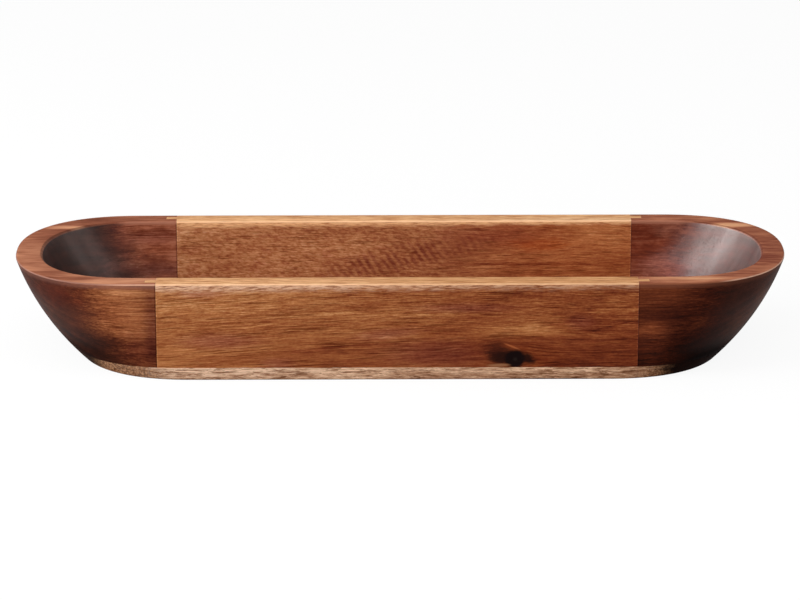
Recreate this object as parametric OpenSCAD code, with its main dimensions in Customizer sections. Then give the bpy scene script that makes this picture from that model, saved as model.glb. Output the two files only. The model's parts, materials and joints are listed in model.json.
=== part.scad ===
// Long dough bowl glued up from five pieces of hardwood.
// Two straight side boards are tongued into two hollowed end blocks, and the frame
// stands on a thin base board. The whole outside is shaped after gluing, so one
// outer form and one hollow are cut through all the pieces.
// +X runs along the bowl, -Y is the front, +Z is up; the origin is under the middle.

/* [Overall size] */
// Length over the two ends at the rim, before its edges are eased
bowl_l = 460; // [440:1:520]
// Width over the two straight sides
bowl_w = 141.6; // [120:0.2:170]
// Height from the table to the rim
bowl_h = 58.9; // [50:0.1:66]

/* [Ends] */
// Radius of the arc that an end follows down to the base, seen from the side
end_arc_r = 140; // [130:1:200]
// Lean of an end at the rim, in degrees from upright
end_lean = 18.7; // [12:0.1:22]
// Squareness of an end seen from above: 2 is a half ellipse, more is squarer
end_power = 2.3; // [2:0.05:2.8]

/* [Wall and base] */
// Thickness of the wall
wall_t = 13.8; // [10:0.1:16]
// How far the hollow sits to the right of the middle, so that the left end's wall is thicker
hollow_shift = 0.9; // [-2:0.1:2]
// Thickness of the base board
base_t = 7.5; // [6:0.5:10]
// Radius that the rim's two edges are eased to
rim_r = 1.2; // [1:0.1:4]
// Radius that the base's lower edge is eased to
foot_r = 0.8; // [0.4:0.1:2]

/* [Joints] */
// Length of the front board between its shoulders
front_board_l = 281.4; // [230:0.2:290]
// Length of the rear board between its shoulders
rear_board_l = 279; // [230:0.2:290]
// How far the front board sits from the middle
front_shift = -1.9; // [-5:0.1:5]
// How far the rear board sits from the middle
rear_shift = 2.4; // [-5:0.1:5]
// Thickness of the tongues
tongue_t = 4.4; // [3:0.1:5]
// Length of the tongues
tongue_l = 6.5; // [4:0.5:10]
// Wood between a tongue and the outer face
tongue_inset = 3.9; // [3:0.1:6]

/* [Smoothness] */
// Facets round a quarter of an end
end_steps = 16; // [8:1:20]
// Facets from the base to the rim
rise_steps = 6; // [4:1:8]
// Facets round an eased edge
edge_steps = 3; // [2:1:4]

/* [Hidden] */

half_l = bowl_l / 2;
half_w = bowl_w / 2;
// Centre of the arc, in the plane through the bowl's long axis
arc_x = half_l - end_arc_r * cos(end_lean);
arc_z = bowl_h + end_arc_r * sin(end_lean);
// The hollow is cut this far past the pieces that it opens
over_cut = 3;

// Where the shoulder of a side board meets an end block: x is -1 left or 1 right, y -1 front or 1 rear
function seam(x, y) =
    y < 0 ? front_shift + x * front_board_l / 2 : rear_shift + x * rear_board_l / 2;

// Half the length of the form at height z, for an end arc of radius r
function half_length(r, z) = arc_x + sqrt(r * r - pow(arc_z - z, 2));

// One outline seen from above: straight sides and two squared, rounded ends.
// An end is as deep as the form's half width, or less where straight_l asks for it.
function outline(half_len, half_wid, z, straight_l = 0) =
    let (
        depth = min(half_wid, half_len - straight_l),
        quarter = [for (i = [0 : end_steps]) 90 * i / end_steps],
        round_x = [for (a = quarter) half_len - depth + depth * pow(cos(a), 2 / end_power)],
        round_y = [for (a = quarter) half_wid * pow(sin(a), 2 / end_power)],
        last = end_steps
    )
    concat(
        [for (i = [0 : last]) [round_x[i], round_y[i], z]],
        [for (i = [last : -1 : 0]) [-round_x[i], round_y[i], z]],
        [for (i = [1 : last]) [-round_x[i], -round_y[i], z]],
        [for (i = [last : -1 : 1]) [round_x[i], -round_y[i], z]]
    );

// Heights from low to high in equal steps
function rises(low, high) =
    [for (i = [0 : rise_steps]) low + (high - low) * i / rise_steps];

// Angles of an eased edge, without the first
function edge_angles() = [for (i = [1 : edge_steps]) 90 * i / edge_steps];

// Solid through a stack of outlines, lowest first
module loft(rings) {
    n = len(rings[0]);
    levels = len(rings);
    sides = [
        for (k = [0 : levels - 2], i = [0 : n - 1])
            let (j = (i + 1) % n, low = k * n, high = low + n)
            each [[low + i, high + i, high + j], [low + i, high + j, low + j]]
    ];
    polyhedron(
        points = [for (ring = rings) each ring],
        faces = concat(
            [[for (i = [0 : n - 1]) i]],
            sides,
            [[for (i = [n - 1 : -1 : 0]) (levels - 1) * n + i]]
        )
    );
}

// Outside of the walls, from the base board up, with the rim's outer edge eased
module outer_form() {
    straight = [
        for (z = rises(base_t, bowl_h - rim_r)) outline(half_length(end_arc_r, z), half_w, z)
    ];
    eased = [
        for (a = edge_angles())
            let (z = bowl_h - rim_r + rim_r * sin(a), inset = rim_r * (1 - cos(a)))
            outline(half_length(end_arc_r, z) - inset, half_w - inset, z)
    ];
    loft(concat(straight, eased));
}

// The hollow, from under the walls to over the rim, with the rim's inner edge eased.
// It curves only past the side boards, which stay flat inside.
module hollow() {
    r = end_arc_r - wall_t;
    half_wid = half_w - wall_t;
    boards = max([for (x = [-1, 1], y = [-1, 1]) abs(seam(x, y))]) + abs(hollow_shift);
    low = outline(half_length(r, base_t), half_wid, base_t - over_cut, boards);
    straight = [
        for (z = rises(base_t, bowl_h - rim_r)) outline(half_length(r, z), half_wid, z, boards)
    ];
    eased = [
        for (a = edge_angles())
            let (z = bowl_h - rim_r + rim_r * sin(a), flare = rim_r * (1 - cos(a)))
            outline(half_length(r, z) + flare, half_wid + flare, z)
    ];
    high = outline(half_length(r, bowl_h) + rim_r, half_wid + rim_r, bowl_h + over_cut);
    translate([hollow_shift, 0, 0]) loft(concat([low], straight, eased, [high]));
}

// Tongues at both ends of the side board on side y
module tongues(y) {
    low_y = y < 0 ? tongue_inset - half_w : half_w - tongue_inset - tongue_t;
    translate([seam(-1, y) - tongue_l, low_y, base_t])
        cube([seam(1, y) - seam(-1, y) + 2 * tongue_l, tongue_t, bowl_h - base_t]);
}

// Blank that a side board is cut from
module board_blank(y) {
    translate([seam(-1, y), y < 0 ? -half_w - 1 : 0, base_t])
        cube([seam(1, y) - seam(-1, y), half_w + 1, bowl_h - base_t + 1]);
}

// Blank that an end block is cut from, on side x (-1 left, 1 right)
module end_blank(x) {
    for (y = [-1, 1])
        translate([x < 0 ? -half_l - 1 : seam(x, y), y < 0 ? -half_w - 1 : 0, base_t])
            cube([half_l + 1 - abs(seam(x, y)), half_w + 1, bowl_h - base_t + 1]);
}

module side_board(y) {
    difference() {
        intersection() {
            outer_form();
            board_blank(y);
        }
        hollow();
    }
    tongues(y);
}

module end_block(x) {
    difference() {
        intersection() {
            outer_form();
            end_blank(x);
        }
        hollow();
        tongues(-1);
        tongues(1);
    }
}

module front_side_board() {
    color([0.60, 0.37, 0.24]) side_board(-1);
}

module rear_side_board() {
    color([0.62, 0.42, 0.29]) side_board(1);
}

module left_end_block() {
    color([0.36, 0.22, 0.15]) end_block(-1);
}

module right_end_block() {
    color([0.31, 0.15, 0.10]) end_block(1);
}

// Outside of the base, which carries on that of the walls, with its lower edge eased
module foot_form() {
    eased = [
        for (a = [0 : 90 / edge_steps : 90])
            let (z = foot_r * (1 - cos(a)), inset = foot_r * (1 - sin(a)))
            outline(half_length(end_arc_r, z) - inset, half_w - inset, z)
    ];
    straight = [
        for (z = [base_t / 2, base_t, base_t + over_cut])
            outline(half_length(end_arc_r, z), half_w, z)
    ];
    loft(concat(eased, straight));
}

// Blank that the base board is cut from
module base_blank() {
    translate([-half_l, -half_w - 1, 0]) cube([bowl_l, bowl_w + 2, base_t]);
}

// Flat board under the walls
module base_board() {
    color([0.74, 0.57, 0.44])
        intersection() {
            foot_form();
            base_blank();
        }
}

front_side_board();
rear_side_board();
left_end_block();
right_end_block();
base_board();
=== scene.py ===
"""Long wooden dough bowl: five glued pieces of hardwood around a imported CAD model."""
import json
import math
from functools import reduce

import bmesh
import bpy
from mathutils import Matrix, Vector


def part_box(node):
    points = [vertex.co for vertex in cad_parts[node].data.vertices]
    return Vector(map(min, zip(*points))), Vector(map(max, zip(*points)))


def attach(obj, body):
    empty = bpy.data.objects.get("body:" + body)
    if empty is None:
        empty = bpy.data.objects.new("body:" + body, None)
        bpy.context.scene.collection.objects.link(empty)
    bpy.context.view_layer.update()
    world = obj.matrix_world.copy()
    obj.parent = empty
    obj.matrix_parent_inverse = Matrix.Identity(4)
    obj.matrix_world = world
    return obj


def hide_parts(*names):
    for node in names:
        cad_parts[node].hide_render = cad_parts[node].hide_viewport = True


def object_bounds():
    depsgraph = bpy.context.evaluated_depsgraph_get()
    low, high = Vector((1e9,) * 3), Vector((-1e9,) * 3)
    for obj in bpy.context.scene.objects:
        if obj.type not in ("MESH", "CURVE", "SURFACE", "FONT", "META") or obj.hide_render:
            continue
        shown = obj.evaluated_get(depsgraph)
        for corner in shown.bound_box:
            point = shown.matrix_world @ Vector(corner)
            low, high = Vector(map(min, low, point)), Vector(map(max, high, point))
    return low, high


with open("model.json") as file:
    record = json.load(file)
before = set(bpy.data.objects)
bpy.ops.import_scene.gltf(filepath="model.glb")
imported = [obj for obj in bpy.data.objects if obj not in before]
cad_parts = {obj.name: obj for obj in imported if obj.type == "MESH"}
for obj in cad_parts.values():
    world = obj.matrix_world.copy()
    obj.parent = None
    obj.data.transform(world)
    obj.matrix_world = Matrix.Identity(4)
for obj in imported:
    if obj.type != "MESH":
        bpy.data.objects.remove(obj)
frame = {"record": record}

cad_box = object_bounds()

MM = 0.001

# Form of the bowl, as the CAD source has it
END_ARC_R = 140 * MM
END_LEAN = math.radians(18.7)
END_POWER = 2.3
WALL_T = 13.8 * MM
HOLLOW_SHIFT = 0.9 * MM
RIM_R = 1.2 * MM
FOOT_R = 0.8 * MM
TONGUE_T = 4.4 * MM
TONGUE_L = 6.5 * MM
TONGUE_INSET = 3.9 * MM

# Fineness of the meshes
END_STATIONS = 64
RISE_STEPS = 20
EDGE_STEPS = 6
RIM_FLAT_STEPS = 4
BOARD_STEPS = 48
BASE_LEVELS = (0.3, 0.5, 0.7, 0.9)
SHARP_ANGLE = math.radians(38)

# Hairline that each glued edge shows, and the gap round a tongue
HAIRLINE = 0.14 * MM
TONGUE_PLAY = 0.10 * MM

# Gloss of the wood: its plain level, the coat's roughness and what the flat rim's roughness gains
SPECULAR = 0.03
COAT_ROUGHNESS = 0.40
RIM_DULLING = 0.35

# Places taken from the frame
base_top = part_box("base_board")[1]
rim_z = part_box("left_end_block")[1].z
half_w = base_top.y
base_t = base_top.z
rim_mm = rim_z / MM
rim_edge_mm = (rim_z - RIM_R) / MM
seams = {
    (side, y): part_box(node)[0 if side < 0 else 1].x - side * TONGUE_L
    for side in (-1, 1)
    for y, node in ((-1, "front_side_board"), (1, "rear_side_board"))
}
arc_z = rim_z + END_ARC_R * math.sin(END_LEAN)
arc_x = base_top.x - math.sqrt(END_ARC_R ** 2 - (arc_z - base_t) ** 2)
hollow_straight = max(abs(x) for x in seams.values()) + HOLLOW_SHIFT
# The rim is eased more finely here than in the CAD, so its reach is held to the CAD's
longest = cad_box[1].x


def half_length(radius, z):
    """Half the length of the form at height z, for an end arc of that radius."""
    return arc_x + math.sqrt(radius ** 2 - (arc_z - z) ** 2)


def across(x, half_len, half_wid, straight=0.0):
    """Half the form's width at x, where straight is the least length of its flat sides."""
    depth = min(half_wid, half_len - straight)
    past = min(1.0, max(0.0, (x - half_len + depth) / depth))
    return half_wid * (1 - past ** END_POWER) ** (1 / END_POWER)


def wall_profile():
    """The wall's section, up the outside and down the inside, as (z, inset, inside, normal).

    inset is how far a point lies in from the face that it belongs to, and normal is (outward, up)."""
    outer = [(base_t, HAIRLINE, False, (0.0, -1.0)), (base_t + HAIRLINE, 0.0, False, (1.0, 0.0))]
    for i in range(1, RISE_STEPS + 1):
        outer.append((base_t + (rim_z - RIM_R - base_t) * i / RISE_STEPS, 0.0, False, (1.0, 0.0)))
    for i in range(1, EDGE_STEPS + 1):
        turn = math.pi / 2 * i / EDGE_STEPS
        z, inset = rim_z - RIM_R + RIM_R * math.sin(turn), RIM_R * (1 - math.cos(turn))
        outer.append((z, inset, False, (math.cos(turn), math.sin(turn))))
    inner = [(z, inset, True, (-out, up)) for z, inset, _, (out, up) in reversed(outer[2:])]
    return outer, inner + [(base_t, 0.0, True, (-1.0, 0.0))]


def wall_point(x_of, side, y_side, level):
    """A point of the wall for one level of its section. x_of gives x from how far the form reaches."""
    z, inset, inside, _ = level
    if inside:
        reach = half_length(END_ARC_R - WALL_T, z) + inset
        x = x_of(reach + side * HOLLOW_SHIFT)
        y = across(abs(x - HOLLOW_SHIFT), reach, half_w - WALL_T + inset, hollow_straight)
    else:
        reach = min(half_length(END_ARC_R, z) - inset, longest)
        x = x_of(reach)
        y = across(abs(x), reach, half_w - inset)
    return Vector((x, y_side * y, z))


def section(x_of, side, y_side, shrink):
    """One closed ring of the wall. shrink draws it in on itself, for the hairline at a glued face."""
    outer, inner = wall_profile()
    ring = []
    for level in outer + inner:
        out, up = level[3]
        ring.append(wall_point(x_of, side, y_side, level) - Vector((0.0, y_side * out, up)) * shrink)
    start = len(outer)
    flat = [ring[start - 1].lerp(ring[start], i / RIM_FLAT_STEPS) for i in range(1, RIM_FLAT_STEPS)]
    return ring[:start] + flat + ring[start:]


def mesh_object(name, verts, faces):
    """An object of those points and faces in the scene, with its faces turned outward."""
    mesh = bpy.data.meshes.new(name)
    mesh.from_pydata([tuple(v) for v in verts], [], faces)
    work = bmesh.new()
    work.from_mesh(mesh)
    bmesh.ops.recalc_face_normals(work, faces=work.faces)
    work.to_mesh(mesh)
    work.free()
    piece = bpy.data.objects.new(name, mesh)
    bpy.context.scene.collection.objects.link(piece)
    return piece


def swept(name, rings):
    """A closed solid through rings of the same number of points, with a flat face on each end."""
    n = len(rings[0])
    verts = [p for ring in rings for p in ring]
    faces = [
        (k * n + i, k * n + (i + 1) % n, (k + 1) * n + (i + 1) % n, (k + 1) * n + i)
        for k in range(len(rings) - 1)
        for i in range(n)
    ]
    faces += [tuple(range(n)), tuple(range(len(verts) - 1, len(verts) - n - 1, -1))]
    return mesh_object(name, verts, faces)


def box_object(name, low, high):
    """A box between two opposite corners."""
    x_ends, y_ends, z_ends = zip(low, high)
    verts = [(x, y, z) for x in x_ends for y in y_ends for z in z_ends]
    faces = [(0, 1, 3, 2), (4, 6, 7, 5), (0, 4, 5, 1), (2, 3, 7, 6), (0, 2, 6, 4), (1, 5, 7, 3)]
    return mesh_object(name, verts, faces)


def carve(piece, tool, operation):
    """Joins or cuts the piece with a tool, which is used up."""
    step = piece.modifiers.new(operation, "BOOLEAN")
    step.operation = operation
    step.solver = "EXACT"
    step.object = tool
    bpy.context.view_layer.update()
    graph = bpy.context.evaluated_depsgraph_get()
    carved = bpy.data.meshes.new_from_object(piece.evaluated_get(graph))
    piece.modifiers.clear()
    old = piece.data
    piece.data = carved
    bpy.data.meshes.remove(old)
    bpy.data.objects.remove(tool)
    piece.data.name = piece.name


def smooth(piece):
    """Shades the piece smooth, except over its sharp edges."""
    piece.data.shade_smooth()
    piece.data.set_sharp_from_angle(angle=SHARP_ANGLE)


def tongue_box(side, y_side, play):
    """The tongue at one seam, from inside the side board to its tip, widened by play."""
    seam = seams[side, y_side]
    y_out = y_side * (half_w - TONGUE_INSET + play)
    y_in = y_side * (half_w - TONGUE_INSET - TONGUE_T - play)
    x_ends = sorted((seam - side * TONGUE_L / 2, seam + side * (TONGUE_L + play)))
    y_ends = sorted((y_out, y_in))
    top = rim_z + (RIM_R if play else 0.0)
    return box_object("tongue", (x_ends[0], y_ends[0], base_t - play), (x_ends[1], y_ends[1], top))


def side_board(name, y_side):
    """A straight board of the wall's section, with its rim eased and a tongue on each end."""
    low, high = seams[-1, y_side], seams[1, y_side]
    stops = [(low, HAIRLINE), (low + HAIRLINE, 0.0)]
    stops += [(low + (high - low) * i / BOARD_STEPS, 0.0) for i in range(1, BOARD_STEPS)]
    stops += [(high - HAIRLINE, 0.0), (high, HAIRLINE)]
    piece = swept(name, [section(lambda reach, x=x: x, 0, y_side, shrink) for x, shrink in stops])
    for side in (-1, 1):
        carve(piece, tongue_box(side, y_side, 0.0), "UNION")
    return piece


def end_block(name, side):
    """The U-shaped wall round one end, with a groove for each tongue."""
    rings = []
    for i in range(-END_STATIONS, END_STATIONS + 1):
        y_side = -1 if i < 0 else 1
        seam = abs(seams[side, y_side])
        share = math.cos(math.pi / 2 * i / END_STATIONS)
        if abs(i) == END_STATIONS:
            for step, shrink in [(HAIRLINE, 0.0), (0.0, HAIRLINE)][::y_side]:
                rings.append(section(lambda reach, x=seam + step: side * x, side, y_side, shrink))
        else:
            rings.append(section(lambda reach: side * (seam + (reach - seam) * share), side, y_side, 0.0))
    piece = swept(name, rings)
    for y_side in (-1, 1):
        carve(piece, tongue_box(side, y_side, TONGUE_PLAY), "DIFFERENCE")
    return piece


def base_board(name):
    """The flat board under the walls, whose outline carries on from theirs."""
    eased = [math.pi / 2 * i / EDGE_STEPS for i in range(EDGE_STEPS + 1)]
    levels = [(FOOT_R * (1 - math.cos(a)), FOOT_R * (1 - math.sin(a))) for a in eased]
    levels += [(base_t * share, 0.0) for share in BASE_LEVELS]
    levels += [(base_t - HAIRLINE, 0.0), (base_t, HAIRLINE)]
    rings = []
    for z, inset in levels:
        reach = half_length(END_ARC_R, z) - inset
        wide = half_w - inset
        quarter = [math.pi / 2 * i / END_STATIONS for i in range(END_STATIONS + 1)]
        end = [
            (reach - wide + wide * math.cos(a) ** (2 / END_POWER), wide * math.sin(a) ** (2 / END_POWER))
            for a in quarter
        ]
        ring = end + [(-x, y) for x, y in end[::-1]]
        ring += [(-x, -y) for x, y in end[1:]] + [(x, -y) for x, y in end[:0:-1]]
        rings.append([Vector((x, y, z)) for x, y in ring])
    return swept(name, rings)


def srgb(red, green, blue):
    """A colour given from 0 to 255 as pictures store it, as the shader takes it."""
    return (*(((v / 255 + 0.055) / 1.055) ** 2.4 for v in (red, green, blue)), 1.0)


class Timber:
    """The shader of one piece of wood, built a node at a time. Its lengths are millimetres.

    x runs along the grain. lay() sets v, the height across the grain, which slopes and wanders."""

    def __init__(self, name, seed):
        self.material = bpy.data.materials.new(name)
        self.material.use_nodes = True
        self.tree = self.material.node_tree
        self.shader = self.tree.nodes["Principled BSDF"]
        self.seed = seed
        place = self.node("TexCoord", {}, "Object")
        self.x, self.y, self.z = self.split(
            self.node("VectorMath", {0: place, "Scale": 1 / MM}, operation="SCALE")
        )
        self.facing = self.split(self.node("TexCoord", {}, "Normal"))
        self.v = self.z

    def node(self, kind, inputs, output=0, **settings):
        """Adds a shader node with those inputs and settings, and gives one of its outputs."""
        made = self.tree.nodes.new("ShaderNode" + kind)
        for key, value in settings.items():
            setattr(made, key, value)
        for key, value in inputs.items():
            self.feed(made.inputs[key], value)
        return made.outputs[output]

    def feed(self, socket, value):
        """Links another node's output to a socket, or sets the socket to a constant."""
        if isinstance(value, bpy.types.NodeSocket):
            self.tree.links.new(value, socket)
        else:
            socket.default_value = value

    def split(self, vector):
        self.node("SeparateXYZ", {0: vector})
        return self.tree.nodes[-1].outputs[:]

    def math(self, operation, *values):
        return self.node("Math", dict(enumerate(values)), operation=operation)

    def add(self, *terms):
        return reduce(lambda a, b: self.math("ADD", a, b), terms)

    def times(self, *terms):
        return reduce(lambda a, b: self.math("MULTIPLY", a, b), terms)

    def weigh(self, value, share):
        """share times how far the value is over 0.5, the middle of its range."""
        return self.math("MULTIPLY_ADD", value, share, -share * 0.5)

    def span(self, value, low, high, first=0.0, last=1.0):
        """A smooth step from first to last while the value goes from low to high."""
        ends = {"Value": value, 1: low, 2: high, 3: first, 4: last}
        return self.node("MapRange", ends, interpolation_type="SMOOTHSTEP")

    def noise(self, x, y, z, detail=2.0, roughness=0.5):
        point = self.node("CombineXYZ", {0: x, 1: y, 2: z})
        inputs = {"Vector": point, "Scale": 1.0, "Detail": detail, "Roughness": roughness}
        return self.node("TexNoise", inputs)

    def cells(self, long, wide, high, detail=2.0, shift=0.0, roughness=0.5):
        """Noise in cells of that size: long along the grain, wide through the board, high across it.

        Each shift gives another noise."""
        x = self.math("MULTIPLY_ADD", self.x, 1 / long, self.seed + shift)
        return self.noise(x, self.times(self.y, 1 / wide), self.times(self.v, 1 / high), detail, roughness)

    def lay(self, rise, wander, bends=None):
        """Sets v: the grain climbs by rise, wanders by up to that much and bends as bends says."""
        long, wide, high = 75, 60, 24
        slope = self.math("MULTIPLY_ADD", self.x, -rise, self.z)
        slow = self.noise(
            self.math("MULTIPLY_ADD", self.x, 1 / long, self.seed),
            self.times(self.y, 1 / wide),
            self.times(self.z, 1 / high),
            1.0,
        )
        self.v = self.add(slope, self.weigh(slow, wander * 2))
        if bends:
            self.v = self.add(self.v, bends(self))

    def rings(self, pith_y, pith_z, width):
        """Growth layers of that width round a pith that runs along the grain."""
        long = 260.0
        off_y = self.math("ADD", self.y, -pith_y)
        off_z = self.math("ADD", self.v, -pith_z)
        radius = self.math("SQRT", self.add(self.times(off_y, off_y), self.times(off_z, off_z)))
        along = self.math("MULTIPLY_ADD", self.x, 1 / long, self.seed)
        return self.noise(along, self.times(radius, 1 / width), 0.0, 3.0, 0.6)

    def spot(self, x, z, long, high, tilt=0.0, soft=0.6, ragged=0.0, up=None):
        """A soft-edged patch, 1 in its middle, on a face that x and z run over, or x and up."""
        dx = self.math("ADD", self.x, -x)
        dz = self.math("ADD", self.math("MULTIPLY_ADD", dx, -tilt, up or self.z), -z)
        square_x = self.math("POWER", self.times(dx, 1 / long), 2.0)
        square_z = self.math("POWER", self.times(dz, 1 / high), 2.0)
        far = self.math("SQRT", self.add(square_x, square_z))
        return self.span(self.math("ADD", far, ragged), 1 - soft, 1 + soft, 1.0, 0.0)

    def ramp(self, value, stops):
        """The colour for a value, between stops of a place and a colour."""
        made = self.tree.nodes.new("ShaderNodeValToRGB")
        self.feed(made.inputs[0], value)
        bar = made.color_ramp.elements
        while len(bar) < len(stops):
            bar.new(0.5)
        for element, (place, colour) in zip(bar, stops):
            element.position = place
            element.color = colour
        return made.outputs["Color"]

    def mix(self, share, under, over, blend="MIX"):
        """Two colours mixed or blended: share tells how far over covers under."""
        made = self.tree.nodes.new("ShaderNodeMix")
        made.data_type = "RGBA"
        made.blend_type = blend
        for index, value in ((0, share), (6, under), (7, over)):
            self.feed(made.inputs[index], value)
        return made.outputs[2]

    def finish(self, colour, roughness, height, depth, coat=0.0):
        """Joins colour, roughness, height and coat to the shader. depth is the bump's, in millimetres."""
        bump = self.node("Bump", {"Strength": 1.0, "Distance": depth * MM, "Height": height})
        sockets = {
            "Base Color": colour,
            "Roughness": roughness,
            "Normal": bump,
            "Coat Weight": coat,
            "Coat Roughness": COAT_ROUGHNESS,
            "Coat Normal": bump,
            "Specular IOR Level": SPECULAR,
        }
        for socket, value in sockets.items():
            self.feed(self.shader.inputs[socket], value)
        return self.material


def eased_edge(wood):
    """1 on the rounded edges of the rim and 0 on its flat top and on the walls."""
    up = wood.facing[2]
    bell = wood.times(wood.span(up, 0.15, 0.45), wood.span(up, 0.86, 0.98, 1.0, 0.0))
    return wood.times(bell, wood.span(wood.z, rim_edge_mm - 0.5, rim_edge_mm + 0.2))


def rim_top(wood):
    """1 on the flat top of the rim."""
    return wood.times(wood.span(wood.facing[2], 0.86, 0.98), wood.span(wood.z, rim_mm - 0.4, rim_mm - 0.1))


def dull_rim(wood, roughness):
    """The roughness with more on the flat rim, so that a low view along it doesn't glare."""
    return wood.add(roughness, wood.times(rim_top(wood), RIM_DULLING))


def shade(wood, share, colour, factor):
    """The colour multiplied by a factor for each channel, as far as share says."""
    return wood.mix(share, colour, wood.mix(1.0, colour, (*factor, 1.0), "MULTIPLY"))


def heartwood(wood, tone, stops, streak, dash, long, broad=0.45):
    """Colour, roughness and height of plain wood of that tone, with stops as its colours.

    Its streaks run for about long. streak is their strength, broad the part that broader ones have
    in them, and dash the strength of the light and dark dashes between them."""
    fine = wood.cells(long, 1.2, 0.60, 4.0, roughness=0.72)
    middle = wood.cells(long * 3.5, 6, 2.4, 3.0, 7.0, 0.6)
    speck = wood.cells(1.8, 0.9, 0.8, 2.0, 11.0)
    streaks = wood.add(wood.weigh(fine, 1.0), wood.weigh(middle, broad), wood.weigh(speck, 0.25))
    colour = wood.ramp(wood.add(tone, wood.times(streaks, streak)), stops)
    groups = wood.span(wood.cells(long * 3, 12, 5, 1.0, 17.0), 0.38, 0.60)
    dark = wood.span(wood.cells(long * 2, 1.6, 0.55, 2.0, 19.0), 0.55, 0.63)
    light = wood.span(wood.cells(long * 1.2, 1.6, 0.60, 2.0, 23.0), 0.56, 0.66)
    pores = wood.span(wood.cells(long * 0.45, 0.55, 0.45, 1.0, 13.0), 0.60, 0.70)
    colour = shade(wood, wood.times(light, dash, 0.5), colour, (1.35, 1.48, 1.60))
    colour = shade(wood, wood.times(dark, groups, dash), colour, (0.46, 0.34, 0.27))
    colour = shade(wood, wood.times(pores, 0.45), colour, (0.55, 0.46, 0.40))
    roughness = wood.add(0.50, wood.weigh(fine, 0.16), wood.times(pores, 0.12))
    height = wood.add(wood.times(fine, 0.35), wood.times(pores, -0.65))
    return colour, roughness, height


# Colours of the woods, from dark to light
ACACIA = [
    (0.00, srgb(54, 19, 10)),
    (0.20, srgb(95, 39, 20)),
    (0.40, srgb(127, 61, 33)),
    (0.60, srgb(154, 88, 49)),
    (0.80, srgb(182, 117, 70)),
    (1.00, srgb(208, 150, 100)),
]
DARK_ACACIA = [
    (0.00, srgb(18, 8, 5)),
    (0.25, srgb(48, 21, 12)),
    (0.50, srgb(92, 42, 22)),
    (0.75, srgb(142, 80, 46)),
    (1.00, srgb(182, 120, 78)),
]
DEEP_ACACIA = [
    (0.00, srgb(6, 2, 2)),
    (0.25, srgb(30, 10, 5)),
    (0.50, srgb(66, 24, 11)),
    (0.75, srgb(114, 54, 28)),
    (1.00, srgb(160, 100, 62)),
]
PALE_ACACIA = [
    (0.00, srgb(84, 50, 32)),
    (0.30, srgb(140, 96, 70)),
    (0.60, srgb(188, 144, 114)),
    (1.00, srgb(232, 194, 164)),
]

# Colours of the sapwood on the walls of each side board and on their rims, and of the painted highlight on
# the rims' rounded edges
FRONT_SAPWOOD = [
    (0.36, srgb(140, 88, 64)),
    (0.47, srgb(200, 148, 114)),
    (0.58, srgb(232, 188, 156)),
]
REAR_SAPWOOD = [
    (0.32, srgb(166, 106, 66)),
    (0.44, srgb(208, 152, 106)),
    (0.60, srgb(230, 178, 130)),
]
BOARD_RIM = [
    (0.34, srgb(162, 106, 68)),
    (0.48, srgb(200, 147, 102)),
    (0.62, srgb(222, 174, 128)),
]
BOARD_EDGE_HIGHLIGHT = srgb(244, 198, 156)

# Colours of the painted highlight on the lip of an end block's hollow, and of the base board's end grain
HOLLOW_LIP_HIGHLIGHT = srgb(164, 108, 86)
BASE_END_GRAIN = [
    (0.36, srgb(60, 32, 20)),
    (0.50, srgb(126, 80, 52)),
    (0.62, srgb(188, 138, 98)),
]

# Tone of the front board in a few soft places: x, z, half length, half height, tilt, tone
FRONT_TONES = [
    (48, 47, 26, 2.2, 0.06, -0.10),
    (105, 36, 17, 6, 0.0, -0.08),
    (-58, 24, 30, 5, 0.04, -0.05),
    (-107, 23, 17, 5, 0.03, -0.08),
    (71, 29, 26, 4.5, -0.02, 0.22),
    (28, 17, 22, 7, 0.06, -0.14),
    (-11, 29, 12, 2.0, 0.20, -0.10),
    (-34, 20.5, 20, 0.6, 0.08, -0.22),
    (124, 33, 10, 0.5, 0.24, -0.20),
    (119, 31, 10, 0.5, 0.20, -0.14),
    (116, 12, 28, 8, 0.0, -0.14),
]
# Mauve patches of the front board: x, z, half length, half height, tilt
FRONT_MAUVE = [
    (-106, 24, 20, 4.0, 0.0),
    (-72, 10, 9, 3.0, 0.0),
    (-8, 28, 16, 3.0, 0.1),
    (37, 44, 24, 2.5, 0.0),
    (20, 16, 28, 7.0, 0.0),
    (106, 35, 7, 4.0, 0.0),
    (-117, 53, 12, 2.0, 0.0),
]
KNOT_X, KNOT_Z = 66.9, 12.7


def front_grain(wood):
    """How far the grain arches along the board and is pushed aside as it passes the knot."""
    dx = wood.times(wood.math("ADD", wood.x, -KNOT_X), 0.55)
    dz = wood.math("ADD", wood.z, -KNOT_Z)
    near = wood.add(wood.times(dx, dx), wood.times(dz, dz))
    fade = wood.math("EXPONENT", wood.times(near, -1 / 90))
    return wood.add(wood.times(wood.x, wood.x, 0.00012), wood.times(dz, fade, -0.8))


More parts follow.
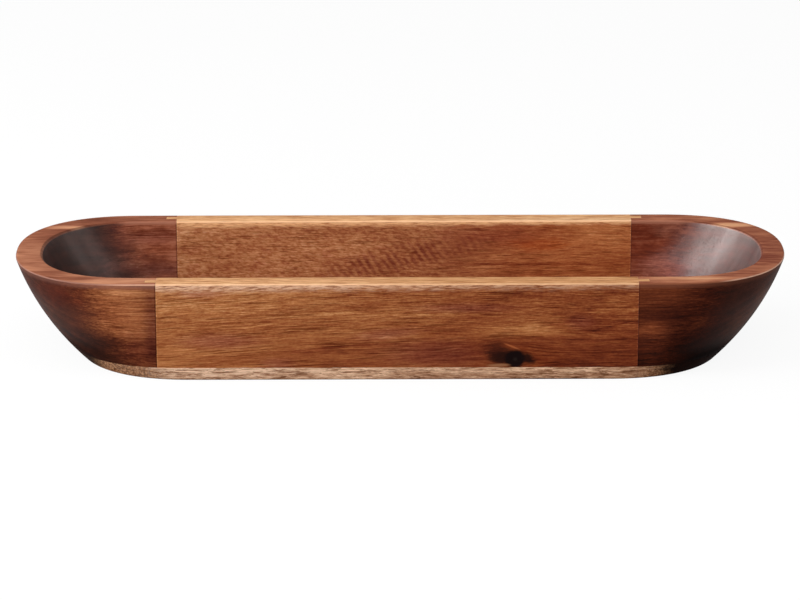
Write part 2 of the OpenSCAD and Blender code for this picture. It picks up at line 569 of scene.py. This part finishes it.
def add_knot(wood, colour):
    """The knot over the base joint: a black heart between two dark flares, under a light arc."""
    ragged = wood.add(
        wood.weigh(wood.noise(wood.times(wood.x, 1 / 5), 0.0, wood.times(wood.z, 1 / 2.6), 3.0, 0.6), 1.0),
        wood.weigh(wood.cells(5, 3, 0.8, 2.0, 61.0), 0.7),
    )
    halo = wood.spot(KNOT_X + 3, KNOT_Z + 1, 25, 10, -0.1, 0.85, ragged)
    glow = wood.spot(KNOT_X - 5, KNOT_Z + 8.5, 8, 2.6, -0.2, 0.8, ragged)
    cloud = wood.spot(KNOT_X - 9.2, KNOT_Z + 3.2, 7.6, 7.4, -0.25, 0.75, ragged)
    left = wood.spot(KNOT_X - 7.8, KNOT_Z + 0.8, 6.4, 4.6, -0.1, 0.6, ragged)
    right = wood.spot(KNOT_X + 6.6, KNOT_Z + 0.4, 5.2, 3.6, -0.15, 0.5, ragged)
    arc = wood.spot(KNOT_X - 1.6, KNOT_Z + 7.6, 4.2, 0.6, -0.42, 0.5)
    heart = wood.spot(KNOT_X, KNOT_Z, 5.9, 5.6, 0.0, 0.22, wood.times(ragged, 0.30))
    core = wood.spot(KNOT_X + 0.2, KNOT_Z - 0.2, 1.1, 0.9, 0.0, 0.8)
    fleck = wood.spot(57.5, 8.8, 6.0, 1.0, 0.04, 0.4, wood.times(ragged, 0.5))
    colour = shade(wood, wood.times(halo, 0.75), colour, (0.74, 0.54, 0.44))
    colour = wood.mix(wood.times(glow, 0.45), colour, srgb(140, 66, 34))
    colour = wood.mix(wood.times(cloud, 0.80), colour, srgb(56, 21, 12))
    colour = wood.mix(wood.times(arc, 0.55), colour, srgb(186, 104, 60))
    colour = wood.mix(wood.times(left, 0.82), colour, srgb(22, 7, 4))
    colour = wood.mix(wood.times(right, 0.92), colour, srgb(20, 5, 3))
    colour = wood.mix(heart, colour, srgb(14, 1, 1))
    colour = wood.mix(wood.times(core, 0.5), colour, srgb(44, 34, 30))
    return wood.mix(wood.times(fleck, 0.90), colour, srgb(150, 100, 68))


def pale_rim(wood, colour, sapwood, low, soft, dim):
    """Sapwood along the top, with a painted highlight on the rim's rounded edge. On a wall it fades within
    soft of the height low, and dim darkens it and the highlight.
    """
    ragged = wood.add(
        wood.weigh(wood.cells(30, 8, 40, 2.0, 31.0), 2.0),
        wood.weigh(wood.cells(7, 2, 1.0, 3.0, 37.0, 0.65), 5.0),
    )
    over = wood.math("SUBTRACT", wood.add(wood.z, ragged), low)
    here = wood.span(wood.math("DIVIDE", over, soft), -1.0, 1.0)
    pale = wood.ramp(wood.cells(6, 2.2, 0.7, 3.0, 41.0, 0.65), sapwood)
    colour = wood.mix(here, colour, shade(wood, dim, pale, (0.86, 0.78, 0.70)))
    top = wood.ramp(wood.cells(15, 1.6, 1.8, 4.0, 47.0, 0.70), BOARD_RIM)
    # Painted highlight: the rim's rounded edge is turned pale
    edge = wood.mix(wood.times(eased_edge(wood), 0.8), top, BOARD_EDGE_HIGHLIGHT)
    edge = shade(wood, dim, edge, (0.82, 0.75, 0.66))
    return wood.mix(wood.math("MAXIMUM", rim_top(wood), wood.times(eased_edge(wood), 0.85)), colour, edge)


def board_ends(wood, colour, y_side):
    """A side board's last millimetre, which shows as a worn light line along each seam."""
    left, right = (seams[side, y_side] / MM for side in (-1, 1))
    at_left = wood.span(wood.x, left + 0.3, left + 0.9, 1.0, 0.0)
    at_right = wood.span(wood.x, right - 0.9, right - 0.3)
    worn = wood.span(wood.noise(0.0, 0.0, wood.times(wood.z, 1 / 1.5), 2.0, 0.6), 0.40, 0.58)
    return shade(wood, wood.times(wood.add(at_left, at_right), worn), colour, (1.35, 1.45, 1.6))


def front_board_wood(name):
    """Red-brown wood whose grain arches and bends round a knot, with mauve patches and a pale rim."""
    wood = Timber(name, 3.0)
    wood.lay(0.030, 1.3, front_grain)
    slow = wood.cells(90, 30, 15, 1.0, 5.0)
    tone = wood.add(
        wood.span(wood.x, -150, 150, 0.67, 0.44),
        wood.span(wood.z, 5, 55, -0.06, 0.05),
        wood.weigh(slow, 0.45),
    )
    for x, z, long, high, tilt, amount in FRONT_TONES:
        tone = wood.add(tone, wood.times(wood.spot(x, z, long, high, tilt), amount))
    bands = wood.cells(60, 12, 3.0, 2.0, 71.0, 0.6)
    tone = wood.add(tone, wood.weigh(bands, 0.40))
    streak = wood.span(wood.z, 18, 42, 1.0, 1.6)
    colour, roughness, height = heartwood(wood, tone, ACACIA, streak, 1.2, 12.0, 0.35)
    colour = shade(wood, wood.span(wood.x, -60, 150, 0.0, 0.4), colour, (1.0, 0.90, 0.82))
    patches = [wood.spot(*place, 0.8) for place in FRONT_MAUVE]
    mauve = reduce(lambda a, b: wood.math("MAXIMUM", a, b), patches)
    colour = shade(wood, mauve, colour, (0.95, 0.93, 1.28))
    colour = board_ends(wood, colour, -1)
    colour = add_knot(wood, colour)
    low = wood.span(wood.x, -120, 120, 54.8, 56.8)
    soft = wood.span(wood.x, 0, 120, 2.4, 3.6)
    dim = wood.span(wood.x, -70, 30, 0.0, 0.7)
    colour = pale_rim(wood, colour, FRONT_SAPWOOD, low, soft, dim)
    return wood.finish(colour, dull_rim(wood, roughness), height, 0.10)


def rear_board_wood(name):
    """Lighter wood with a rippled band in its middle, red and purple patches and a pale rim."""
    wood = Timber(name, 11.0)
    wood.lay(0.0, 1.6)
    leaning = wood.add(wood.x, wood.times(wood.v, 0.65))
    curl_zone = wood.span(wood.x, 0, 75, 1.0, 0.0)
    fleck = wood.noise(
        wood.times(leaning, 1 / 2.8),
        wood.times(wood.y, 1 / 5),
        wood.times(wood.v, 1 / 1.3),
    )
    ripple_length = 4.8
    bent = wood.add(
        wood.times(leaning, 2 * math.pi / ripple_length),
        wood.weigh(wood.cells(30, 12, 12, 1.0, 8.0), 5.0),
    )
    ripple = wood.span(wood.math("SINE", bent), -0.9, 1.0)
    band = wood.times(
        wood.spot(-4, 35, 46, 7.0, 0.20, 0.8),
        wood.span(wood.cells(14, 9, 9, 1.0, 12.0), 0.30, 0.60),
    )
    ragged = wood.weigh(wood.cells(8, 6, 2, 2.0, 77.0), 1.6)
    right_half = wood.span(wood.x, 10, 60)
    tone = wood.add(
        wood.span(wood.x, -150, 60, 0.72, 0.58),
        wood.weigh(wood.cells(80, 30, 14, 1.0, 5.0), 0.4),
        wood.times(wood.weigh(wood.span(fleck, 0.35, 0.62), 0.20), curl_zone),
        wood.times(ripple, band, -0.19),
        wood.times(wood.spot(74, 31, 32, 1.0, 0.0, 0.6, ragged), -0.22),
        wood.times(wood.spot(126, 50, 18, 7.0), 0.14),
        wood.times(wood.weigh(wood.cells(14, 3, 1.1, 4.0, 75.0, 0.68), 0.8), right_half),
    )
    streak = wood.math("MULTIPLY_ADD", band, -0.45, 0.80)
    colour, roughness, height = heartwood(wood, tone, ACACIA, streak, streak, 7.0, 0.25)
    colour = shade(wood, wood.span(wood.x, 20, 110, 1.0, 0.35), colour, (1.02, 1.13, 1.42))
    red = wood.add(
        wood.times(wood.spot(86, 43.5, 16, 3.4, 0.0, 0.7, ragged), 0.7),
        wood.span(wood.x, 20, 90, 0.0, 0.35),
    )
    colour = shade(wood, red, colour, (1.12, 0.82, 0.64))
    spots = wood.span(wood.cells(9, 6, 3.5, 2.0, 27.0), 0.56, 0.68)
    purple = wood.add(
        wood.times(spots, curl_zone, 0.5),
        wood.times(wood.spot(56, 51, 27, 7, 0.0, 0.7, ragged), 0.8),
    )
    colour = shade(wood, purple, colour, (0.84, 0.68, 0.76))
    colour = shade(wood, wood.times(ripple, band, 0.7), colour, (0.93, 0.94, 1.20))
    colour = board_ends(wood, colour, 1)
    low = wood.span(wood.x, -100, 100, 55.4, 56.4)
    colour = pale_rim(wood, colour, REAR_SAPWOOD, low, 1.4, 0.0)
    inner_rim = wood.times(rim_top(wood), wood.span(wood.y, 59, 65, 1.0, 0.0))
    colour = shade(wood, inner_rim, colour, (1.10, 1.12, 1.14))
    colour = shade(wood, wood.times(inner_rim, wood.span(wood.x, 0, 110)), colour, (1.0, 1.10, 1.22))
    # Painted shade: the rim's rounded back edge and the back face are darkened
    colour = shade(wood, wood.span(wood.y, 68.8, 70.4), colour, (0.66, 0.62, 0.60))
    return wood.finish(colour, dull_rim(wood, roughness), height, 0.10)


# What the end blocks differ in. Places, heights and lengths are millimetres.
#   seed: where the noise starts
#   wood, end_grain, rim: colours of the long grain, the end grain and the rim
#   tone: tone of the long grain near the seam
#   streak: strength of the streaks, and calm: the share of it that the hollow has
#   turn: how much sooner the hollow's wall counts as end grain
#   mottle: strength of the hollow's mottling
#   hollow_tint, end_tint: colour factors of the hollow, and of its end grain besides
#   glue: strength of the dark line at the seam
#   polish: weight of the hollow's coat
#   satin: heights between which the nose's thin coat sets in, and its weight
#   painted_sheen: colour of the painted sheen, a light band outside just under the rim
#   edge: how far past the seam the colour of the painted highlight on the outer edge begins and ends its
#       change, and both colours
#   outer_places, inner_places: soft patches as x, z, half length, half height and a colour factor; those
#       marked in the tables are painted shade, painted sheen and a painted reflection
#   rim_places: soft patches of the rim as x, y, half length, half width and a tone
LEFT_BLOCK = {
    "seed": 23.0,
    "wood": DARK_ACACIA,
    "end_grain": [
        (0.35, srgb(40, 20, 14)),
        (0.50, srgb(66, 34, 24)),
        (0.65, srgb(92, 48, 32)),
    ],
    "rim": [
        (0.28, srgb(86, 41, 29)),
        (0.44, srgb(136, 80, 58)),
        (0.60, srgb(180, 121, 91)),
        (0.76, srgb(206, 151, 114)),
    ],
    "tone": 0.80,
    "streak": 1.05,
    "calm": 0.8,
    "turn": 0.14,
    "mottle": 1.0,
    "hollow_tint": (0.80, 0.68, 0.92),
    "end_tint": (0.40, 0.53, 0.54),
    "glue": 0.6,
    "polish": 0.25,
    "satin": (12, 24, 0.145),
    "painted_sheen": srgb(146, 98, 84),
    "edge": (16, 38, srgb(212, 162, 136), srgb(152, 108, 92)),
    "outer_places": [
        (-143.5, 30, 5.5, 30, (0.58, 0.48, 0.58)),
        (-153, 17, 13, 9, (0.78, 0.66, 0.80)),
        (-166, 41, 20, 11, (1.32, 1.38, 1.44)),
        (-203, 50, 13, 8, (0.95, 0.66, 0.66)),
        (-192, 40, 9, 16, (0.84, 0.76, 0.76)),
        (-206, 28, 9, 14, (0.66, 0.62, 0.60)),
        (-186, 19, 12, 8, (0.76, 0.73, 0.76)),
        (-222, 45, 11, 15, (0.50, 0.42, 0.40)),
    ],
    "inner_places": [
        (-151, 41, 13, 4, (1.08, 1.06, 1.0)),
        (-152, 49, 14, 4.5, (0.80, 0.75, 0.82)),
        (-178, 47, 11, 13, (1.90, 2.00, 2.15)),
        (-170, 28, 11, 8, (2.50, 2.80, 3.10)),
        (-150, 28, 18, 4, (0.58, 0.55, 0.68)),
        (-206, 38, 9, 16, (0.72, 0.70, 0.70)),
    ],
    "rim_places": [
        (-204, 45, 11, 3.2, 0.26),
        (-208, 0, 22, 60, -0.04),
        (-222, 0, 14, 34, 0.08),
        (-206, -52, 12, 10, -0.12),
        (-166, -64, 15, 8, 0.08),
        (-190, 58, 13, 8, -0.10),
        (-185, -58, 13, 3.5, -0.09),
        (-180, -66, 20, 3.5, 0.14),
    ],
}
RIGHT_BLOCK = {
    "seed": 37.0,
    "wood": DEEP_ACACIA,
    "end_grain": [
        (0.35, srgb(30, 13, 9)),
        (0.50, srgb(44, 20, 13)),
        (0.65, srgb(60, 28, 19)),
    ],
    "rim": [
        (0.28, srgb(76, 33, 25)),
        (0.44, srgb(118, 62, 46)),
        (0.60, srgb(170, 109, 80)),
        (0.76, srgb(206, 151, 113)),
    ],
    "tone": 0.66,
    "streak": 0.80,
    "calm": 0.6,
    "turn": 0.04,
    "mottle": 0.65,
    "hollow_tint": (1.04, 0.92, 1.30),
    "end_tint": (1.30, 0.90, 0.80),
    "glue": 0.3,
    "polish": 0.94,
    "satin": (10, 20, 0.12),
    "painted_sheen": srgb(126, 74, 54),
    "edge": (45, 58, srgb(134, 80, 56), srgb(206, 160, 136)),
    "outer_places": [
        (152, 44, 16, 8, (0.84, 0.82, 0.88)),
        (178, 32, 13, 18, (0.78, 0.76, 0.80)),
        # Painted shade: near black low on the nose
        (184, 5, 19, 8, (0.16, 0.10, 0.10)),
        # Painted sheen along the nose's outline
        (201, 21, 9, 11, (2.3, 2.8, 2.7)),
        (214, 40, 5, 9, (1.7, 1.9, 1.8)),
        (146, 23, 9, 11, (1.60, 1.80, 1.90)),
        (161, 29, 8, 10, (0.74, 0.72, 0.80)),
    ],
    "inner_places": [
        (149, 50, 9, 5, (0.84, 0.78, 0.76)),
        # Painted reflection: the hollow's mauve-grey gloss
        (166, 28, 13, 9, (1.90, 3.00, 4.40)),
        (170, 55, 12, 6, (1.90, 3.30, 4.40)),
    ],
    "rim_places": [
        (203, 47, 13, 4.5, 0.30),
        (172, 63, 26, 10, 0.13),
        (176, -62, 34, 12, 0.03),
        (176, -61, 34, 2.5, 0.12),
        (204, -50, 14, 12, -0.08),
    ],
}


def end_block_wood(name, side, look):
    """A dark block whose grain runs along x, so that its nose shows end grain. Its hollow is polished."""
    wood = Timber(name, look["seed"])
    wood.lay(0.0, 1.2)

    # How far past its seam a place is, which face it is on, and how far that shows end grain
    rear = wood.math("GREATER_THAN", wood.y, 0.0)
    front_seam, rear_seam = (abs(seams[side, y]) / MM for y in (-1, 1))
    seam = wood.math("MULTIPLY_ADD", rear, rear_seam - front_seam, front_seam)
    past = wood.math("SUBTRACT", wood.times(wood.x, side), seam)
    outward = wood.times(wood.facing[1], wood.math("MULTIPLY_ADD", rear, 2.0, -1.0))
    outer = wood.span(wood.add(wood.times(wood.facing[0], side), outward), -0.1, 0.1)
    inner = wood.math("SUBTRACT", 1.0, outer)
    turn = wood.add(wood.math("ABSOLUTE", wood.facing[0]), wood.times(inner, look["turn"]))
    across_grain = wood.span(turn, 0.16, 0.62)

    # Long grain and end grain of the walls
    hollow_mottle = wood.weigh(wood.cells(15, 15, 6, 4.0, 53.0, 0.68), look["mottle"])
    tone = wood.add(
        wood.span(past, 5, 60, look["tone"] + 0.06, look["tone"] - 0.20),
        # Painted shade: the outside is darker toward the bottom
        wood.times(outer, wood.span(wood.z, 6, 42, -0.34, -0.06)),
        wood.weigh(wood.cells(60, 14, 7, 2.0, 5.0), 0.5),
        wood.times(inner, hollow_mottle),
    )
    calm = wood.span(outer, 0, 1, look["calm"], 1.0)
    streak = wood.times(calm, look["streak"])
    colour, roughness, height = heartwood(wood, tone, look["wood"], streak, calm, 20.0)
    layers = wood.rings(6, -70, 4.0)
    mottle = wood.add(wood.times(layers, 0.5), wood.times(wood.cells(9, 9, 7, 4.0, 51.0, 0.65), 0.5))
    colour = wood.mix(wood.times(across_grain, 0.9), colour, wood.ramp(mottle, look["end_grain"]))

    # Painted shade darkening the foot of the nose, soft patches (among them painted shade, painted sheen
    # and a painted reflection), and the tints of the hollow
    low = wood.times(outer, wood.span(wood.z, 4, 36, 0.95, 0.0), wood.span(past, 8, 42))
    colour = shade(wood, low, colour, (0.22, 0.17, 0.17))
    ragged = wood.weigh(wood.cells(9, 9, 3, 4.0, 79.0, 0.7), 2.0)
    for face, places in ((outer, look["outer_places"]), (inner, look["inner_places"])):
        for x, z, long, high, factor in places:
            patch = wood.times(face, wood.spot(x, z, long, high, 0.0, 0.8, ragged))
            colour = shade(wood, patch, colour, factor)
    colour = shade(wood, inner, colour, look["hollow_tint"])
    colour = shade(wood, wood.times(inner, across_grain), colour, look["end_tint"])

    # Painted sheen: a light band outside under the rim; and the dark line at the seam
    painted_sheen = wood.times(outer, wood.span(wood.z, 54.6, 57.4), wood.span(past, 10, 80, 0.55, 0.2))
    colour = wood.mix(painted_sheen, colour, look["painted_sheen"])
    colour = shade(wood, wood.span(past, 0.3, 1.0, look["glue"], 0.0), colour, (0.40, 0.30, 0.28))

    # Rim, with its inner edge
    rim_tone = wood.add(
        0.5,
        wood.weigh(wood.cells(30, 6, 9, 2.0, 55.0, 0.6), 0.30),
        wood.weigh(wood.cells(14, 1.3, 9, 3.0, 59.0, 0.7), 0.34),
        wood.weigh(wood.cells(40, 30, 30, 1.0, 57.0), 0.3),
        wood.span(wood.y, -50, 20, 0.03, -0.04),
    )
    for x, y, long, high, amount in look["rim_places"]:
        patch = wood.spot(x, y, long, high, 0.0, 0.8, up=wood.y)
        rim_tone = wood.add(rim_tone, wood.times(patch, amount))
    inner_edge = wood.times(eased_edge(wood), inner, 0.55)
    rim = wood.math("MAXIMUM", rim_top(wood), inner_edge)
    colour = wood.mix(rim, colour, wood.ramp(rim_tone, look["rim"]))

    # Painted highlights: a light line on the lip at the rear side of the hollow, and on the worn outer
    # edge, which shows most in front
    lip_highlight = wood.times(
        inner,
        wood.span(wood.z, 56.0, 57.6),
        wood.span(wood.y, 20, 50),
        wood.span(past, 26, 40, 0.75, 0.0),
    )
    under_rim = wood.math("SUBTRACT", 1.0, rim_top(wood))
    colour = wood.mix(wood.times(lip_highlight, under_rim), colour, HOLLOW_LIP_HIGHLIGHT)
    outer_edge_highlight = wood.times(eased_edge(wood), outer, wood.span(wood.y, -30, 10, 0.75, 0.1))
    # Painted highlight: the outer edge's colour, changing from near to far past the seam
    start, end, near, far = look["edge"]
    worn = wood.mix(wood.span(past, start, end), near, far)
    colour = wood.mix(outer_edge_highlight, colour, worn)

    # Gloss: streaked polish in the hollow and a thin coat on the nose
    roughness = wood.add(roughness, wood.times(outer, wood.span(wood.z, 8, 46, 0.50, 0.10)))
    leaning = wood.math("MULTIPLY_ADD", wood.z, -0.6 * side, wood.x)
    streaks = wood.noise(
        wood.times(leaning, 1 / 8),
        wood.times(wood.y, 1 / 10),
        wood.times(wood.z, 1 / 40),
        3.0,
        0.6,
    )
    turned = wood.math("MULTIPLY_ADD", wood.z, -0.009, wood.add(turn, 0.37))
    hollow = wood.times(
        inner,
        wood.span(turned, 0.03, 0.30),
        wood.span(wood.z, 18, 46, 0.65, 1.0),
        wood.span(wood.z, rim_mm - 1.2, rim_mm - 0.5, 1.0, 0.0),
    )
    polish = look["polish"]
    coat = wood.times(hollow, wood.math("MULTIPLY_ADD", streaks, polish * 1.1, polish * 0.45))
    start, end, amount = look["satin"]
    satin = wood.times(
        outer,
        across_grain,
        wood.span(wood.z, start, end),
        wood.span(wood.z, 36, 50, amount, amount * 0.3),
    )
    return wood.finish(colour, dull_rim(wood, roughness), height, 0.08, wood.add(coat, satin))


def base_wood(name):
    """Coarse pale wood, calmer on its two flat faces, with end grain on its edge, and painted shade:
    darker low down, a dark line along the bottom, and both ends of its edge near black.
    """
    wood = Timber(name, 47.0)
    wood.lay(0.0, 1.2)
    place = wood.x
    face = wood.span(wood.math("ABSOLUTE", wood.facing[2]), 0.80, 0.95)
    wood.x = wood.times(wood.x, wood.math("MULTIPLY_ADD", face, -0.75, 1.0))
    tone = wood.add(
        wood.span(wood.x, -120, 60, 0.93, 0.66),
        wood.weigh(wood.cells(45, 30, 12, 1.0, 5.0), 0.6),
        wood.times(
            wood.weigh(wood.cells(14, 6, 2.2, 3.0, 9.0, 0.7), 1.5),
            wood.math("MULTIPLY_ADD", face, -0.7, 1.0),
        ),
        # Painted shade: darker toward the bottom, lighter at the top
        wood.span(wood.z, 0.5, 7.0, -0.18, 0.12),
        wood.times(face, -0.16),
    )
    streak = wood.math("MULTIPLY_ADD", face, -0.8, 1.5)
    colour, roughness, height = heartwood(wood, tone, PALE_ACACIA, streak, streak, 8.0)
    colour = shade(wood, wood.span(place, -120, -20), colour, (0.97, 0.94, 0.90))
    edge = wood.math("SUBTRACT", 1.0, face)
    marks = wood.span(wood.cells(7, 3, 0.9, 3.0, 81.0, 0.65), 0.54, 0.585)
    marks = wood.times(marks, wood.math("MULTIPLY_ADD", edge, 0.6, 0.3))
    colour = shade(wood, marks, colour, (0.44, 0.34, 0.28))
    across_grain = wood.span(wood.math("ABSOLUTE", wood.facing[0]), 0.03, 0.28)
    fine = 1 / 1.3
    speck = wood.noise(
        wood.times(wood.x, fine),
        wood.times(wood.y, fine),
        wood.times(wood.z, fine),
        4.0,
        0.7,
    )
    colour = wood.mix(wood.times(across_grain, 0.85), colour, wood.ramp(speck, BASE_END_GRAIN))
    # Painted shade: both ends of the edge are darkened to near black
    left_end = wood.span(place, -184, -172, 0.95, 0.0)
    ragged = wood.weigh(wood.cells(4, 4, 2.5, 2.0, 83.0), 14.0)
    right_end = wood.span(wood.add(place, ragged), 144, 162)
    colour = shade(wood, wood.times(wood.add(left_end, right_end), edge), colour, (0.02, 0.01, 0.01))
    # Painted shade: a dark line along the bottom
    colour = shade(wood, wood.span(wood.z, 0.3, 0.9, 0.8, 0.0), colour, (0.45, 0.42, 0.40))
    roughness = wood.add(roughness, wood.times(across_grain, 0.45))
    return wood.finish(colour, roughness, height, 0.10)


# The camera that the photograph was taken from, as far as its outlines tell
CAMERA_DISTANCE = 2.281
CAMERA_ELEVATION = math.radians(17.83)
CAMERA_AZIMUTH = math.radians(-0.08)
CAMERA_ROLL = math.radians(-0.12)
CAMERA_TARGET = Vector((-0.15, 0.0, 26.3)) * MM
CAMERA_LENS = 170.55
CAMERA_SENSOR = 36.0

# Soft boxes: name, place, size, power, and whether it is only for gloss
LAMPS = [
    ("key", (-1.55, -0.30, 0.65), (1.3, 1.2), 30, False),
    ("left_card", (-1.25, 0.00, 0.60), (2.4, 1.2), 52, True),
    ("front_left_card", (-1.00, -1.20, 0.66), (1.2, 1.2), 34, True),
    ("right_card", (1.30, -0.30, 0.60), (1.6, 1.0), 20, True),
    ("right", (1.55, -0.30, 0.70), (1.2, 1.2), 7, False),
    ("top", (0.0, -0.40, 1.70), (1.8, 1.2), 8, False),
    ("front", (-0.2, -2.30, 1.10), (1.6, 1.2), 20, False),
]
CARD_COLOUR = (1.0, 0.87, 0.81)

# The white world and floor: the light that they give, how far the floor glows, and its size
WHITE = (1.0, 1.0, 1.0, 1.0)
WORLD_LIGHT = 0.34
FLOOR_DULL = (0.30, 0.30, 0.30, 1.0)
FLOOR_GLOW = 0.90
FLOOR_HALF = 6.0
FLOOR_T = 0.02


def add_camera():
    """The photograph's camera, which looks at its target from in front."""
    back = Vector((
        math.sin(CAMERA_AZIMUTH) * math.cos(CAMERA_ELEVATION),
        -math.cos(CAMERA_AZIMUTH) * math.cos(CAMERA_ELEVATION),
        math.sin(CAMERA_ELEVATION),
    ))
    data = bpy.data.cameras.new("camera")
    data.lens = CAMERA_LENS
    data.sensor_width = CAMERA_SENSOR
    camera = bpy.data.objects.new("camera", data)
    camera.location = CAMERA_TARGET + back * CAMERA_DISTANCE
    camera.rotation_euler = (-back).to_track_quat("-Z", "Y").to_euler()
    camera.rotation_euler.rotate_axis("Z", CAMERA_ROLL)
    bpy.context.scene.collection.objects.link(camera)
    bpy.context.scene.camera = camera


def add_lamp(name, place, size, power, only_gloss):
    """A soft box that looks at the bowl. One only for gloss shows in reflections and lights nothing."""
    data = bpy.data.lights.new(name, "AREA")
    data.shape = "RECTANGLE"
    data.size, data.size_y = size
    data.energy = power
    if only_gloss:
        data.color = CARD_COLOUR
    lamp = bpy.data.objects.new(name, data)
    lamp.location = place
    lamp.rotation_euler = (Vector((0, 0, rim_z / 2)) - Vector(place)).to_track_quat("-Z", "Y").to_euler()
    lamp.visible_diffuse = not only_gloss
    bpy.context.scene.collection.objects.link(lamp)


def seen_share(tree):
    """1 for rays that show the background as it is seen, and 0 for rays that carry light."""
    path = tree.nodes.new("ShaderNodeLightPath")
    total = path.outputs["Is Camera Ray"]
    for name in ("Is Glossy Ray", "Is Transmission Ray"):
        joined = tree.nodes.new("ShaderNodeMath")
        joined.operation = "MAXIMUM"
        tree.links.new(total, joined.inputs[0])
        tree.links.new(path.outputs[name], joined.inputs[1])
        total = joined.outputs[0]
    return total


def mixed(tree, share, under, over, onto=None):
    """Mixes two shaders and gives the mixing node. onto is a material's or the world's output."""
    joined = tree.nodes.new("ShaderNodeMixShader")
    if isinstance(share, float):
        joined.inputs[0].default_value = share
    else:
        tree.links.new(share, joined.inputs[0])
    tree.links.new(under.outputs[0], joined.inputs[1])
    tree.links.new(over.outputs[0], joined.inputs[2])
    if onto:
        tree.links.new(joined.outputs[0], onto.inputs["Surface"])
    return joined


def floor_material():
    """A floor that is seen white, with the bowl's soft shadow, and throws little light back up."""
    material = bpy.data.materials.new("floor")
    material.use_nodes = True
    tree = material.node_tree
    tree.nodes.clear()
    dull, pale = (tree.nodes.new("ShaderNodeBsdfDiffuse") for _ in range(2))
    dull.inputs["Color"].default_value = FLOOR_DULL
    pale.inputs["Color"].default_value = WHITE
    seen = mixed(tree, FLOOR_GLOW, pale, tree.nodes.new("ShaderNodeEmission"))
    mixed(tree, seen_share(tree), dull, seen, tree.nodes.new("ShaderNodeOutputMaterial"))
    return material


def add_world():
    """A white world, dim for the light that it throws and bright where it is seen."""
    world = bpy.data.worlds.new("studio")
    bpy.context.scene.world = world
    world.use_nodes = True
    tree = world.node_tree
    tree.nodes.clear()
    soft = tree.nodes.new("ShaderNodeBackground")
    soft.inputs["Strength"].default_value = WORLD_LIGHT
    seen = tree.nodes.new("ShaderNodeBackground")
    for background in (soft, seen):
        background.inputs["Color"].default_value = WHITE
    mixed(tree, seen_share(tree), soft, seen, tree.nodes.new("ShaderNodeOutputWorld"))


# How each piece's shape and wood are made
PIECES = {
    "front_side_board": (lambda name: side_board(name, -1), front_board_wood),
    "rear_side_board": (lambda name: side_board(name, 1), rear_board_wood),
    "left_end_block": (
        lambda name: end_block(name, -1),
        lambda name: end_block_wood(name, -1, LEFT_BLOCK),
    ),
    "right_end_block": (
        lambda name: end_block(name, 1),
        lambda name: end_block_wood(name, 1, RIGHT_BLOCK),
    ),
    "base_board": (base_board, base_wood),
}
slots = {row["node"]: row["material_slot"] for row in frame["record"]["subparts"]}
for node, (make, wood_of) in PIECES.items():
    piece = make(node + "_wood")
    smooth(piece)
    piece.data.materials.append(wood_of(slots[node]))
    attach(piece, "root")
    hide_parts(node)

add_camera()
for lamp_row in LAMPS:
    add_lamp(*lamp_row)
add_world()

floor = box_object("floor", (-FLOOR_HALF, -FLOOR_HALF, -FLOOR_T), (FLOOR_HALF, FLOOR_HALF, 0.0))
floor.data.materials.append(floor_material())

bpy.context.scene.view_settings.view_transform = "Standard"
